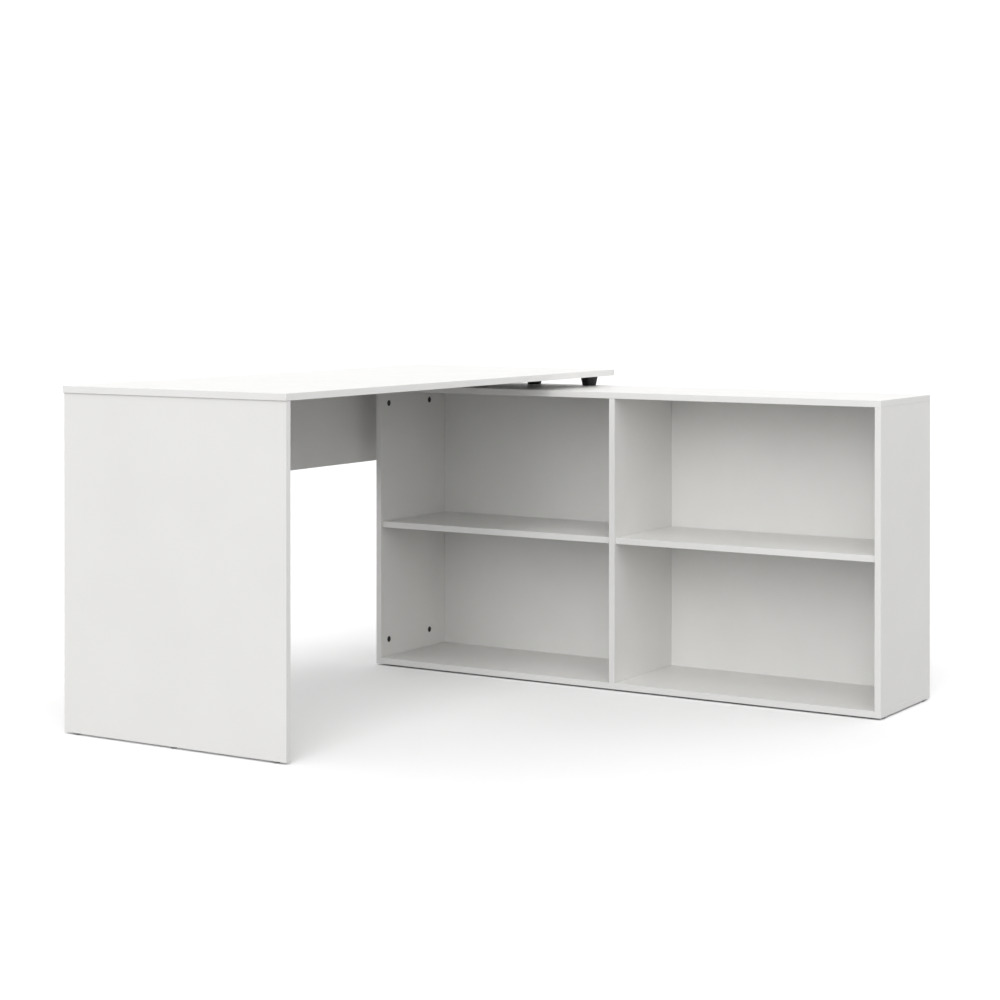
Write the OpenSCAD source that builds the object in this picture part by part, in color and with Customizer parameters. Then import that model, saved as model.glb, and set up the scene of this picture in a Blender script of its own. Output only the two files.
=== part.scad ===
// L-shaped corner desk: a desktop on a full-width panel leg, whose rear end
// stands on tapered spacers on top of a low open bookcase.
// +X runs along the bookcase, +Y towards its back, +Z up. The origin is on the
// floor, under the middle of the whole footprint.

/* [Desktop] */
// Length of the desktop, from the bookcase out to its free end
desktop_l = 1374; // [1000:1:1800]
// Depth of the desktop, from its left edge to the user's edge
desktop_w = 600; // [500:10:800]
// Height of the desktop's upper face above the floor
desk_h = 750; // [620:5:920]
// Thickness of every board
board_t = 15; // [14:0.5:19]
// How far the desktop passes the bookcase's left side
desktop_overhang = 81; // [40:1:140]
// How far the desktop's rear edge passes the bookcase's rear
desktop_rear_overhang = 7; // [0:1:40]

/* [Panel leg] */
// How far the leg's outer face stands back from the desktop's front edge
leg_front_inset = 3; // [0:0.5:60]
// How far the leg's two sides stand back from the desktop's long edges
leg_side_inset = 1.5; // [0:0.5:15]

/* [Modesty panel] */
// Height of the modesty panel, down from the desktop
modesty_h = 225; // [150:5:450]
// How far its rear end stops short of the desktop's rear edge
modesty_rear_inset = 3; // [0:1:60]

/* [Bookcase] */
// Width of the bookcase
case_w = 1360; // [1100:10:1800]
// Depth of the bookcase
case_d = 300; // [240:5:420]
// How far the shelves' front edges stand back from the bookcase's front
shelf_front_inset = 6; // [0:1:20]
// Thickness of the two back panels
back_t = 3; // [2.5:0.1:5]
// How deep the back panels sit inside the bookcase's rear face
back_recess = 2; // [1:0.5:5]
// How far the back panels reach into the rebate of the boards round them
back_lap = 7; // [5:0.5:8]
// Gap round the back panels in their rebate, and between the two of them
back_gap = 0.5; // [0.2:0.1:1]

/* [Spacers] */
// Height of the spacers, which is the gap between bookcase and desktop
spacer_h = 25; // [15:1:60]
// Diameter of a spacer's upper end, under the desktop
spacer_top_d = 44; // [32:1:48]
// Diameter of a spacer's lower end, on the bookcase
spacer_foot_d = 34; // [20:1:40]
// From the bookcase's left side to the first spacer's axis
spacer_left_inset = 147; // [60:1:200]
// From the desktop's right edge to the last spacer's axis
spacer_right_inset = 50; // [40:1:100]
// From the bookcase's rear to the spacers' axes
spacer_rear_inset = 34; // [34:1:80]
// Diameter of the screw through each spacer
spacer_screw_d = 6; // [5:0.5:8]
// How far the screw and its insert reach up into the desktop
spacer_screw_bite = 10; // [8:0.5:10]

/* [Glides] */
// Height of the nail-on glides, which is the gap above the floor
glide_h = 4; // [2:0.5:8]
// Diameter of a glide
glide_d = 14; // [10:0.5:14]
// From an edge of the leg or bookcase to the nearest glide's axis
glide_inset = 30; // [20:1:80]
// Diameter of a glide's nail
glide_pin_d = 2; // [1.5:0.1:3]
// Length of the nail inside the board
glide_pin_l = 10; // [6:1:12]

/* [Cam fittings] */
// Diameter of a cam lock
cam_d = 15; // [12:0.5:20]
// Depth of a cam lock
cam_depth = 12; // [11:0.5:12.5]
// From the end of a leg, modesty or shelf board to its cam's axis
cam_reach = 34; // [24:1:44]
// From the bookcase's top board down to the upper cams' axes
cam_reach_top = 32; // [24:1:44]
// From the bookcase's bottom board up to the lower cams' axes
cam_reach_bottom = 43; // [24:1:52]
// From the bookcase's front to the front cams' axes
cam_front_inset = 35; // [25:1:60]
// From the bookcase's rear to the rear cams' axes
cam_rear_inset = 78; // [60:1:100]
// From a board's end to the first cam along the leg
leg_cam_inset = 60; // [50:1:100]
// From a board's end to the first cam along the modesty panel
modesty_cam_inset = 110; // [80:1:200]
// From the modesty panel's long edges to the cams that hold it to the leg
modesty_end_cam_inset = 60; // [40:1:70]
// Diameter of a cam bolt's thread
bolt_thread_d = 6; // [5:0.5:7]
// Diameter of a cam bolt's collar, and of the bore along the board for it
bolt_collar_d = 8; // [7:0.5:9]
// How far a cam bolt is screwed into the board it holds
bolt_bite = 11; // [9:0.5:12]

/* [Dowels] */
// Diameter of a wooden dowel
dowel_d = 8; // [6:0.5:9]
// Length of a dowel inside the board that is butted
dowel_edge_l = 20; // [15:1:25]
// Length of a dowel inside the face that it is butted on
dowel_face_l = 10; // [8:0.5:12]
// Distance from a cam's axis to the dowel beside it
dowel_step = 32; // [24:1:40]

/* [Back nails] */
// Diameter of a back nail
nail_d = 1.6; // [1.2:0.1:2]
// Length of a back nail under its head
nail_l = 18; // [12:1:25]
// Diameter of a back nail's head
nail_head_d = 4; // [3:0.5:5]
// Thickness of a back nail's head
nail_head_t = 0.8; // [0.5:0.1:1]
// Nails along each edge of a back panel
nails_per_edge = 5; // [3:1:8]

/* [Fits] */
// Clearance on the diameter of every fitting in its bore
bore_gap = 0.2; // [0.1:0.05:0.4]
// Clearance at the blind end of a bore
bore_end_gap = 0.5; // [0.2:0.1:1]
// Clearance between the shelves and the back panels
shelf_back_gap = 1; // [0.5:0.5:3]

/* [Hidden] */
$fn = 48;

// Levels
desk_under = desk_h - board_t;
case_top_z = desk_under - spacer_h;
bay_top_z = case_top_z - board_t;
bay_floor_z = glide_h + board_t;
shelf_mid_z = (bay_floor_z + bay_top_z) / 2;

// Bookcase, measured from its front left lower corner
side_mid_x = [board_t / 2, case_w / 2, case_w - board_t / 2];
back_face_y = case_d - back_recess - back_t;
case_cam_ys = [cam_front_inset, case_d - cam_rear_inset];
case_dowel_ys = [case_cam_ys[0] + dowel_step, case_cam_ys[1] - dowel_step];
case_glide_ys = [glide_inset, case_d - glide_inset];

// Desktop, leg and modesty panel, from the same corner
desktop_x = -desktop_overhang;
desktop_rear_y = case_d + desktop_rear_overhang;
desktop_y = desktop_rear_y - desktop_l;
leg_x = desktop_x + leg_side_inset;
leg_w = desktop_w - 2 * leg_side_inset;
leg_y = desktop_y + leg_front_inset;
leg_inner_y = leg_y + board_t;
modesty_mid_x = leg_x + board_t / 2;
modesty_l = desktop_rear_y - modesty_rear_inset - leg_inner_y;
modesty_z = desk_under - modesty_h;

// Places of the fittings along the leg and the modesty panel
leg_cam_xs = [for (i = [0:3]) leg_x + leg_cam_inset + i * (leg_w - 2 * leg_cam_inset) / 3];
leg_dowel_xs = [for (i = [0:2]) leg_cam_xs[i] + dowel_step];
leg_glide_xs = [for (i = [0:2]) leg_x + glide_inset + i * (leg_w - 2 * glide_inset) / 2];
modesty_cam_ys = [for (i = [0:2])
    leg_inner_y + modesty_cam_inset + i * (modesty_l - 2 * modesty_cam_inset) / 2];
modesty_dowel_ys = [for (i = [0:2]) modesty_cam_ys[i] + (i < 2 ? 1 : -1) * dowel_step];
modesty_end_cam_zs = [modesty_z + modesty_end_cam_inset, desk_under - modesty_end_cam_inset];
modesty_end_dowel_z = (modesty_end_cam_zs[0] + modesty_end_cam_zs[1]) / 2;

// Spacers: a row near the rear of the bookcase
spacer_y = case_d - spacer_rear_inset;
spacer_first_x = spacer_left_inset;
spacer_last_x = desktop_x + desktop_w - spacer_right_inset;
spacer_xs = [spacer_first_x, (spacer_first_x + spacer_last_x) / 2, spacer_last_x];
spacer_bore_d = spacer_screw_d + 0.5;
insert_d = spacer_screw_d + 4;
screw_head_d = 2 * spacer_screw_d;
screw_head_t = 3.5;
screw_socket_d = 0.5 * spacer_screw_d;
screw_socket_depth = 2;

// Shapes of the small fittings
cam_slot_w = 1.4;
cam_slot_l = 8;
cam_slot_depth = 2;
bolt_collar_t = 1;
bolt_shank_d = 5;
bolt_head_d = 7;
bolt_head_below = 3;
bolt_head_above = 2;
bolt_head_gap = 0.3;
dowel_chamfer = 1;
glide_chamfer = 1;
spacer_chamfer = 1;

// Offset that puts the origin on the floor under the middle of the footprint
footprint_mid = [(desktop_x + case_w) / 2, (desktop_y + desktop_rear_y) / 2, 0];

// Turns that aim a fitting: its own +Z runs from the face that is butted on
// into the butted board, and its own +X points out of that board's cam side
UP_CAM_RIGHT = [0, 0, 0];
UP_CAM_LEFT = [0, 0, 180];
DOWN_CAM_RIGHT = [180, 0, 0];
DOWN_CAM_LEFT = [0, 180, 0];
DOWN_CAM_REAR = [180, 0, 90];
RIGHT_CAM_BELOW = [0, 90, 0];
LEFT_CAM_BELOW = [0, 90, 180];
REAR_CAM_RIGHT = [-90, 0, 0];

// Each seat is [place, turn, reach from the butted end to the cam's axis].
// side is 0 for the left side, 1 for the divider and 2 for the right side.
function case_top_seats(side, ys) =
    [for (y = ys) [[side_mid_x[side], y, bay_top_z],
        side == 0 ? DOWN_CAM_RIGHT : DOWN_CAM_LEFT, cam_reach_top]];
function case_bottom_seats(side, ys) =
    [for (y = ys) [[side_mid_x[side], y, bay_floor_z],
        side == 0 ? UP_CAM_RIGHT : UP_CAM_LEFT, cam_reach_bottom]];
// The left end of the shelf in bay 0 (left) or 1 (right), then its right end
function shelf_left_seats(bay, ys) =
    [for (y = ys) [[side_mid_x[bay] + board_t / 2, y, shelf_mid_z], RIGHT_CAM_BELOW, cam_reach]];
function shelf_right_seats(bay, ys) =
    [for (y = ys) [[side_mid_x[bay + 1] - board_t / 2, y, shelf_mid_z], LEFT_CAM_BELOW, cam_reach]];
function leg_seats(xs) =
    [for (x = xs) [[x, leg_y + board_t / 2, desk_under], DOWN_CAM_REAR, cam_reach]];
function modesty_seats(ys) =
    [for (y = ys) [[modesty_mid_x, y, desk_under], DOWN_CAM_RIGHT, cam_reach]];
function modesty_end_seats(zs) =
    [for (z = zs) [[modesty_mid_x, leg_inner_y, z], REAR_CAM_RIGHT, cam_reach]];
function all_sides(seats) = [for (s = seats) each s];

case_top_cams = all_sides([for (i = [0:2]) case_top_seats(i, case_cam_ys)]);
case_top_dowels = all_sides([for (i = [0:2]) case_top_seats(i, case_dowel_ys)]);
case_bottom_cams = all_sides([for (i = [0:2]) case_bottom_seats(i, case_cam_ys)]);
case_bottom_dowels = all_sides([for (i = [0:2]) case_bottom_seats(i, case_dowel_ys)]);

// Places of the back nails, as [x, z]; bay is 0 or 1
function spread(from, to, i, n) = from + (to - from) * (i + 0.5) / n;
function bay_left_x(bay) = side_mid_x[bay] + board_t / 2;
function bay_right_x(bay) = side_mid_x[bay + 1] - board_t / 2;
function back_nail_places(bay) = [for (i = [0:nails_per_edge - 1]) each [
    [spread(bay_left_x(bay), bay_right_x(bay), i, nails_per_edge), bay_top_z + back_lap / 2],
    [spread(bay_left_x(bay), bay_right_x(bay), i, nails_per_edge), bay_floor_z - back_lap / 2],
    [bay_left_x(bay) - (bay == 0 ? back_lap : board_t / 2) / 2,
        spread(bay_floor_z, bay_top_z, i, nails_per_edge)],
    [bay_right_x(bay) + (bay == 1 ? back_lap : board_t / 2) / 2,
        spread(bay_floor_z, bay_top_z, i, nails_per_edge)]]];

// Moves a piece from the bookcase's front left lower corner to the origin
module placed() {
    translate(-footprint_mid) children();
}

// Puts a fitting at every seat of a list
module at_seats(seats) {
    for (seat = seats) translate(seat[0]) rotate(seat[1]) children();
}

// ---- bores ----

// Bores of cam fittings in the board that is butted: a pocket for the cam
// and a bore along the board for the bolt
module cam_pockets(seats) {
    for (seat = seats)
        translate(seat[0]) rotate(seat[1]) {
            translate([board_t / 2 - cam_depth - bore_end_gap, 0, seat[2]])
                rotate([0, 90, 0])
                    cylinder(h = cam_depth + bore_end_gap + 1, d = cam_d + bore_gap);
            translate([0, 0, -1])
                cylinder(h = seat[2] + 1, d = bolt_collar_d + bore_gap);
        }
}

// Blind bores for the bolts' threads in the face that is butted on
module bolt_bores(seats) {
    at_seats(seats)
        translate([0, 0, -bolt_bite - bore_end_gap])
            cylinder(h = bolt_bite + bore_end_gap + 1, d = bolt_thread_d + bore_gap);
}

// Bores for dowels, in both boards
module dowel_bores(seats) {
    at_seats(seats)
        translate([0, 0, -dowel_face_l - bore_end_gap])
            cylinder(h = dowel_face_l + dowel_edge_l + 2 * bore_end_gap, d = dowel_d + bore_gap);
}

// Bores right through the divider, for bolts and dowels of both shelves
module divider_bores(ys, d) {
    for (y = ys)
        translate([bay_right_x(0) - 1, y, shelf_mid_z])
            rotate([0, 90, 0]) cylinder(h = board_t + 2, d = d + bore_gap);
}

// Bores for the glides' nails in a board's underside
module glide_bores(places) {
    for (place = places)
        translate([place[0], place[1], glide_h - 1])
            cylinder(h = glide_pin_l + bore_end_gap + 1, d = glide_pin_d + bore_gap);
}

// Bores for the back nails of one bay
module nail_bores(bay) {
    for (place = back_nail_places(bay))
        translate([place[0], case_d - back_recess + 1, place[1]])
            rotate([90, 0, 0]) cylinder(h = nail_l + bore_end_gap + 1, d = nail_d + bore_gap);
}

// The rebate in the rear edges of the bookcase's outer boards
module back_rebate() {
    translate([board_t - back_lap - back_gap, back_face_y, bay_floor_z - back_lap - back_gap])
        cube([case_w - 2 * (board_t - back_lap - back_gap), case_d - back_face_y + 1,
            bay_top_z - bay_floor_z + 2 * (back_lap + back_gap)]);
}

// ---- boards ----

module board(at, size) {
    translate(at) cube(size);
}

module desktop() {
    color("white") placed() difference() {
        board([desktop_x, desktop_y, desk_under], [desktop_w, desktop_l, board_t]);
        bolt_bores(leg_seats(leg_cam_xs));
        dowel_bores(leg_seats(leg_dowel_xs));
        bolt_bores(modesty_seats(modesty_cam_ys));
        dowel_bores(modesty_seats(modesty_dowel_ys));
        for (x = spacer_xs)
            translate([x, spacer_y, desk_under - 1])
                cylinder(h = spacer_screw_bite + bore_end_gap + 1, d = insert_d + bore_gap);
    }
}

module leg_panel() {
    color("white") placed() difference() {
        board([leg_x, leg_y, glide_h], [leg_w, board_t, desk_under - glide_h]);
        cam_pockets(leg_seats(leg_cam_xs));
        dowel_bores(leg_seats(leg_dowel_xs));
        bolt_bores(modesty_end_seats(modesty_end_cam_zs));
        dowel_bores(modesty_end_seats([modesty_end_dowel_z]));
        glide_bores([for (x = leg_glide_xs) [x, leg_y + board_t / 2]]);
    }
}

module modesty_panel() {
    color("white") placed() difference() {
        board([leg_x, leg_inner_y, modesty_z], [board_t, modesty_l, modesty_h]);
        cam_pockets(modesty_seats(modesty_cam_ys));
        dowel_bores(modesty_seats(modesty_dowel_ys));
        cam_pockets(modesty_end_seats(modesty_end_cam_zs));
        dowel_bores(modesty_end_seats([modesty_end_dowel_z]));
    }
}

module case_top() {
    color("white") placed() difference() {
        board([0, 0, bay_top_z], [case_w, case_d, board_t]);
        back_rebate();
        bolt_bores(case_top_cams);
        dowel_bores(case_top_dowels);
        for (bay = [0, 1]) nail_bores(bay);
        for (x = spacer_xs)
            translate([x, spacer_y, bay_top_z - 1])
                cylinder(h = board_t + 2, d = spacer_bore_d);
    }
}

module case_bottom() {
    color("white") placed() difference() {
        board([0, 0, glide_h], [case_w, case_d, board_t]);
        back_rebate();
        bolt_bores(case_bottom_cams);
        dowel_bores(case_bottom_dowels);
        for (bay = [0, 1]) nail_bores(bay);
        glide_bores([for (x = side_mid_x, y = case_glide_ys) [x, y]]);
    }
}

// One upright of the bookcase: 0 left side, 1 divider, 2 right side
module upright(side) {
    difference() {
        board([side_mid_x[side] - board_t / 2, 0, bay_floor_z],
            [board_t, side == 1 ? back_face_y : case_d, bay_top_z - bay_floor_z]);
        if (side != 1) back_rebate();
        cam_pockets(case_top_seats(side, case_cam_ys));
        cam_pockets(case_bottom_seats(side, case_cam_ys));
        dowel_bores(case_top_seats(side, case_dowel_ys));
        dowel_bores(case_bottom_seats(side, case_dowel_ys));
        if (side > 0) nail_bores(1);
        if (side < 2) nail_bores(0);
    }
}

module left_side() {
    color("white") placed() difference() {
        upright(0);
        bolt_bores(shelf_left_seats(0, case_cam_ys));
        dowel_bores(shelf_left_seats(0, case_dowel_ys));
    }
}

module divider() {
    color("white") placed() difference() {
        upright(1);
        divider_bores(case_cam_ys, bolt_collar_d);
        divider_bores(case_dowel_ys, dowel_d);
    }
}

module right_side() {
    color("white") placed() difference() {
        upright(2);
        bolt_bores(shelf_right_seats(1, case_cam_ys));
        dowel_bores(shelf_right_seats(1, case_dowel_ys));
    }
}

module shelf(bay) {
    color("white") placed() difference() {
        board([bay_left_x(bay), shelf_front_inset, shelf_mid_z - board_t / 2],
            [bay_right_x(bay) - bay_left_x(bay),
                back_face_y - shelf_back_gap - shelf_front_inset, board_t]);
        cam_pockets(shelf_left_seats(bay, case_cam_ys));
        cam_pockets(shelf_right_seats(bay, case_cam_ys));
        dowel_bores(shelf_left_seats(bay, case_dowel_ys));
        dowel_bores(shelf_right_seats(bay, case_dowel_ys));
    }
}

module shelf_left() { shelf(0); }

module shelf_right() { shelf(1); }

// One back panel, from the rebate at its outer side to the divider's middle
module back_panel(bay) {
    left = bay == 0 ? board_t - back_lap : case_w / 2 + back_gap / 2;
    right = bay == 0 ? case_w / 2 - back_gap / 2 : case_w - board_t + back_lap;
    color("whitesmoke") placed() difference() {
        board([left, back_face_y, bay_floor_z - back_lap],
            [right - left, back_t, bay_top_z - bay_floor_z + 2 * back_lap]);
        nail_bores(bay);
    }
}

module back_panel_left() { back_panel(0); }

module back_panel_right() { back_panel(1); }

// ---- spacers ----

// A tapered plastic spacer, wide end up, with a bore for its screw
module spacer(i) {
    foot_r = spacer_foot_d / 2;
    top_r = spacer_top_d / 2;
    color("black") placed()
        translate([spacer_xs[i], spacer_y, case_top_z])
            rotate_extrude() polygon([
                [spacer_bore_d / 2, 0],
                [foot_r - spacer_chamfer, 0],
                [foot_r, spacer_chamfer],
                [top_r, spacer_h - spacer_chamfer],
                [top_r, spacer_h],
                [spacer_bore_d / 2, spacer_h]]);
}

module spacer_left() { spacer(0); }

module spacer_middle() { spacer(1); }

module spacer_right() { spacer(2); }

// Screws up through the bookcase's top board and the spacers
module spacer_screws() {
    color("silver") placed()
        for (x = spacer_xs)
            translate([x, spacer_y, bay_top_z - screw_head_t])
                difference() {
                    union() {
                        cylinder(h = screw_head_t, d = screw_head_d);
                        cylinder(h = screw_head_t + board_t + spacer_h + spacer_screw_bite,
                            d = spacer_screw_d);
                    }
                    translate([0, 0, -1])
                        cylinder(h = screw_socket_depth + 1, d = screw_socket_d);
                }
}

// Threaded inserts in the desktop's underside
module spacer_inserts() {
    color("gold") placed()
        for (x = spacer_xs)
            translate([x, spacer_y, desk_under])
                difference() {
                    cylinder(h = spacer_screw_bite, d = insert_d);
                    translate([0, 0, -1])
                        cylinder(h = spacer_screw_bite + 2, d = spacer_screw_d + bore_gap);
                }
}

// ---- cam fittings ----

// Round cam locks with a cross slot and a hollow for the bolt's head
module cam_locks(seats) {
    color("dimgray") placed()
        for (seat = seats)
            translate(seat[0]) rotate(seat[1]) translate([0, 0, seat[2]])
                difference() {
                    translate([board_t / 2 - cam_depth, 0, 0])
                        rotate([0, 90, 0]) cylinder(h = cam_depth, d = cam_d);
                    translate([0, 0, -cam_d])
                        cylinder(h = cam_d + bolt_head_above + bolt_head_gap,
                            d = bolt_head_d + 2 * bolt_head_gap);
                    for (turn = [0, 90])
                        translate([board_t / 2, 0, 0]) rotate([turn, 0, 0])
                            cube([2 * cam_slot_depth, cam_slot_w, cam_slot_l], center = true);
                }
}

// Outline of a bolt's part inside the butted board, up to its head
function bolt_end(reach) = [
    [bolt_shank_d / 2, reach - bolt_head_below],
    [bolt_head_d / 2, reach - bolt_head_below + 1],
    [bolt_head_d / 2, reach + bolt_head_above - 1],
    [bolt_head_d / 2 - 1, reach + bolt_head_above],
    [0, reach + bolt_head_above]];

module cam_bolts(seats) {
    color("silver") placed()
        for (seat = seats)
            translate(seat[0]) rotate(seat[1])
                rotate_extrude() polygon(concat([
                    [0, -bolt_bite],
                    [bolt_thread_d / 2 - 1, -bolt_bite],
                    [bolt_thread_d / 2, -bolt_bite + 1],
                    [bolt_thread_d / 2, 0],
                    [bolt_collar_d / 2, 0],
                    [bolt_collar_d / 2, bolt_collar_t],
                    [bolt_shank_d / 2, bolt_collar_t]], bolt_end(seat[2])));
}

// Wooden dowels with chamfered ends, from one depth to another
module dowels(seats, from, to) {
    color("burlywood") placed()
        at_seats(seats)
            rotate_extrude() polygon([
                [0, from],
                [dowel_d / 2 - dowel_chamfer, from],
                [dowel_d / 2, from + dowel_chamfer],
                [dowel_d / 2, to - dowel_chamfer],
                [dowel_d / 2 - dowel_chamfer, to],
                [0, to]]);
}

module cam_locks_left_side() {
    cam_locks(concat(case_top_seats(0, case_cam_ys), case_bottom_seats(0, case_cam_ys)));
}

module cam_locks_divider() {
    cam_locks(concat(case_top_seats(1, case_cam_ys), case_bottom_seats(1, case_cam_ys)));
}

module cam_locks_right_side() {
    cam_locks(concat(case_top_seats(2, case_cam_ys), case_bottom_seats(2, case_cam_ys)));
}

module cam_locks_shelf_left() {
    cam_locks(concat(shelf_left_seats(0, case_cam_ys), shelf_right_seats(0, case_cam_ys)));
}

module cam_locks_shelf_right() {
    cam_locks(concat(shelf_left_seats(1, case_cam_ys), shelf_right_seats(1, case_cam_ys)));
}

module cam_locks_leg() { cam_locks(leg_seats(leg_cam_xs)); }

module cam_locks_modesty() {
    cam_locks(concat(modesty_seats(modesty_cam_ys), modesty_end_seats(modesty_end_cam_zs)));
}

module cam_bolts_case_top() { cam_bolts(case_top_cams); }

module cam_bolts_case_bottom() { cam_bolts(case_bottom_cams); }

module cam_bolts_left_side() { cam_bolts(shelf_left_seats(0, case_cam_ys)); }

module cam_bolts_right_side() { cam_bolts(shelf_right_seats(1, case_cam_ys)); }

// Double-ended bolts through the divider, one head in each shelf
module double_bolts_divider() {
    end = bolt_end(board_t / 2 + cam_reach);
    mirrored = [for (i = [len(end) - 1:-1:0]) [end[i][0], -end[i][1]]];
    color("silver") placed()
        for (y = case_cam_ys)
            translate([case_w / 2, y, shelf_mid_z]) rotate([0, 90, 0])
                rotate_extrude() polygon(concat(mirrored, [
                    [bolt_shank_d / 2, -board_t / 2],
                    [bolt_collar_d / 2, -board_t / 2],
                    [bolt_collar_d / 2, board_t / 2],
                    [bolt_shank_d / 2, board_t / 2]], end));
}

module cam_bolts_desktop() {
    cam_bolts(concat(leg_seats(leg_cam_xs), modesty_seats(modesty_cam_ys)));
}

module cam_bolts_leg() { cam_bolts(modesty_end_seats(modesty_end_cam_zs)); }

// ---- dowels ----

module dowels_case_top() { dowels(case_top_dowels, -dowel_face_l, dowel_edge_l); }

module dowels_case_bottom() { dowels(case_bottom_dowels, -dowel_face_l, dowel_edge_l); }

module dowels_left_side() {
    dowels(shelf_left_seats(0, case_dowel_ys), -dowel_face_l, dowel_edge_l);
}

module dowels_right_side() {
    dowels(shelf_right_seats(1, case_dowel_ys), -dowel_face_l, dowel_edge_l);
}

// Dowels right through the divider, into both shelves
module long_dowels_divider() {
    dowels(shelf_left_seats(1, case_dowel_ys), -board_t - dowel_edge_l, dowel_edge_l);
}

module dowels_leg() { dowels(leg_seats(leg_dowel_xs), -dowel_face_l, dowel_edge_l); }

module dowels_modesty() {
    dowels(concat(modesty_seats(modesty_dowel_ys), modesty_end_seats([modesty_end_dowel_z])),
        -dowel_face_l, dowel_edge_l);
}

// ---- glides ----

// Round plastic pads under a board, each bored for its nail
module glides(places) {
    color("gainsboro") placed()
        for (place = places)
            translate([place[0], place[1], 0])
                rotate_extrude() polygon([
                    [glide_pin_d / 2 + bore_gap / 2, glide_h / 2],
                    [glide_pin_d / 2 + bore_gap / 2, glide_h],
                    [glide_d / 2, glide_h],
                    [glide_d / 2, glide_chamfer],
                    [glide_d / 2 - glide_chamfer, 0],
                    [0, 0],
                    [0, glide_h / 2]]);
}

module glide_pins(places) {
    color("silver") placed()
        for (place = places)
            translate([place[0], place[1], glide_h / 2])
                cylinder(h = glide_h / 2 + glide_pin_l, d = glide_pin_d);
}

module leg_glides() { glides([for (x = leg_glide_xs) [x, leg_y + board_t / 2]]); }

module leg_glide_pins() { glide_pins([for (x = leg_glide_xs) [x, leg_y + board_t / 2]]); }

module case_glides() { glides([for (x = side_mid_x, y = case_glide_ys) [x, y]]); }

module case_glide_pins() { glide_pins([for (x = side_mid_x, y = case_glide_ys) [x, y]]); }

// ---- back nails ----

module back_nails(bay) {
    color("silver") placed()
        for (place = back_nail_places(bay))
            translate([place[0], case_d - back_recess, place[1]])
                rotate([90, 0, 0]) union() {
                    cylinder(h = nail_l, d = nail_d);
                    translate([0, 0, -nail_head_t]) cylinder(h = nail_head_t, d = nail_head_d);
                }
}

module back_nails_left() { back_nails(0); }

module back_nails_right() { back_nails(1); }

desktop();
leg_panel();
modesty_panel();
case_top();
case_bottom();
left_side();
right_side();
divider();
shelf_left();
shelf_right();
back_panel_left();
back_panel_right();
spacer_left();
spacer_middle();
spacer_right();
spacer_screws();
spacer_inserts();
cam_locks_left_side();
cam_locks_divider();
cam_locks_right_side();
cam_locks_shelf_left();
cam_locks_shelf_right();
cam_locks_leg();
cam_locks_modesty();
cam_bolts_case_top();
cam_bolts_case_bottom();
cam_bolts_left_side();
cam_bolts_right_side();
double_bolts_divider();
cam_bolts_desktop();
cam_bolts_leg();
dowels_case_top();
dowels_case_bottom();
dowels_left_side();
dowels_right_side();
long_dowels_divider();
dowels_leg();
dowels_modesty();
leg_glides();
leg_glide_pins();
case_glides();
case_glide_pins();
back_nails_left();
back_nails_right();
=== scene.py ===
"""Corner desk: the look of every board and fitting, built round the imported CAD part."""

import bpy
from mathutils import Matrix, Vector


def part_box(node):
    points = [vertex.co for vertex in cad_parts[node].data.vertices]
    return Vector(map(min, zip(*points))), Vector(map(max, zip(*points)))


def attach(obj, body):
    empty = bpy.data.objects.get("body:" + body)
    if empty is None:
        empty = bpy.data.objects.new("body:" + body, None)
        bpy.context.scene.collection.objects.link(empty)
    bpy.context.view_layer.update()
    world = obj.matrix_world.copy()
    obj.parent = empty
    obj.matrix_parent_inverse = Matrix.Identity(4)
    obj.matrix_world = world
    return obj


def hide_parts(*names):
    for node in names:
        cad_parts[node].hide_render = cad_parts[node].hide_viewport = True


bl_info = {
    "name": "Corner Desk",
    "version": (1, 0, 0),
    "blender": (4, 5, 0),
    "location": "View3D > Sidebar > Corner Desk",
    "description": "Builds the boards, fittings and studio of a corner desk with a bookcase",
    "category": "Add Mesh",
}

import math

import bmesh
import bpy
from bpy.props import (
    FloatProperty,
    FloatVectorProperty,
    IntProperty,
    PointerProperty,
)
from mathutils import Matrix, Vector

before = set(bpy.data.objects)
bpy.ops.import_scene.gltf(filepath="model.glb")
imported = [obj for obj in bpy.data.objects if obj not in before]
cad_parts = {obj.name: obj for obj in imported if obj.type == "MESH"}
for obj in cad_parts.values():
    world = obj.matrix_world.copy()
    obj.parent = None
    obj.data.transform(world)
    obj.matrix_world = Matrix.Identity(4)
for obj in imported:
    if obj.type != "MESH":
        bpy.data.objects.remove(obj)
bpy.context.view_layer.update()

MM = 0.001
PLANE_TOLERANCE = 0.002 * MM
SMOOTH_ANGLE = math.radians(32)
NEARLY_FLAT = math.cos(math.radians(20))
FLAT_ON_REBATE = 0.999

# Boards: the axis across the board, the narrow sides that carry glued edging, and
# the face that looks outward. The other narrow sides are butted on a neighbour.
DESK_BOARDS = {
    "desktop": ("z", ("x-", "x+", "y-", "y+"), "z+"),
    "leg_panel": ("y", ("x-", "x+", "z-"), "y-"),
    "modesty_panel": ("x", ("z-", "y+"), "x-"),
}
BOOKCASE_BOARDS = {
    "case_top": ("z", ("x-", "x+", "y-", "y+"), "z+"),
    "case_bottom": ("z", ("x-", "x+", "y-", "y+"), "z-"),
    "left_side": ("x", ("y-", "y+"), "x-"),
    "right_side": ("x", ("y-", "y+"), "x+"),
    "divider": ("x", ("y-",), None),
    "shelf_left": ("z", ("y-",), None),
    "shelf_right": ("z", ("y-",), None),
}
BACK_PANELS = ("back_panel_left", "back_panel_right")
SPACERS = ("spacer_left", "spacer_middle", "spacer_right")

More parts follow.
